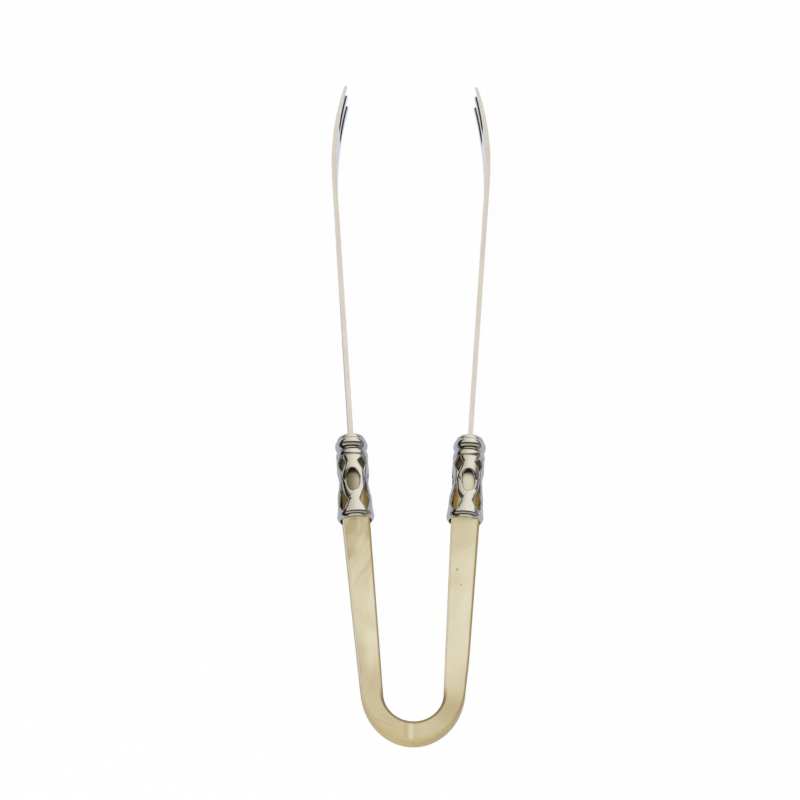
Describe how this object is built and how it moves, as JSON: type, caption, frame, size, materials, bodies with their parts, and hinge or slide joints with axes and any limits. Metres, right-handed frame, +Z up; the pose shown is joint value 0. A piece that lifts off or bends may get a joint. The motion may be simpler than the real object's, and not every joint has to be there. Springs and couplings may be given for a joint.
{
  "type": "serving tongs",
  "caption": "Meat serving tongs with a springy U-shaped pearl acrylic handle, pierced silver ferrules and flat steel arms ending in inward-curving forks.",
  "frame": {"origin": "on the surface that the tongs lie on, midway along their length and midway between the arms", "axes": "+Y from the bend of the handle to the fork tips, +X across the jaws to the right arm, +Z up"},
  "size_m": [0.0564, 0.2502, 0.023],
  "materials": {
    "pearl_acrylic": "polished, pearly",
    "silver_plate": "polished",
    "stainless": "satin"
  },
  "bodies": {
    "bend": {"handle_bend": "pearl_acrylic"},
    "left_arm": {"left_limb": "pearl_acrylic", "left_sleeve": "silver_plate", "left_cap": "silver_plate", "left_fork": "stainless", "left_tang_pin": "stainless"},
    "right_arm": {"right_limb": "pearl_acrylic", "right_sleeve": "silver_plate", "right_cap": "silver_plate", "right_fork": "stainless", "right_tang_pin": "stainless"}
  },
  "joints": [
    {"name": "left_arm_flex", "type": "hinge", "parent": "bend", "child": "left_arm", "pos_m": [-0.01359, -0.10633, 0.0115], "axis": [0, 0, -1], "range_deg": [0, 5.5], "stiffness_Nm_per_rad": 10},
    {"name": "right_arm_flex", "type": "hinge", "parent": "bend", "child": "right_arm", "pos_m": [0.0158, -0.10633, 0.0115], "axis": [0, 0, 1], "range_deg": [0, 5.5], "stiffness_Nm_per_rad": 10}
  ],
  "couplings": [
    {"joint": "right_arm_flex", "follows": "left_arm_flex", "ratio": 1}
  ]
}
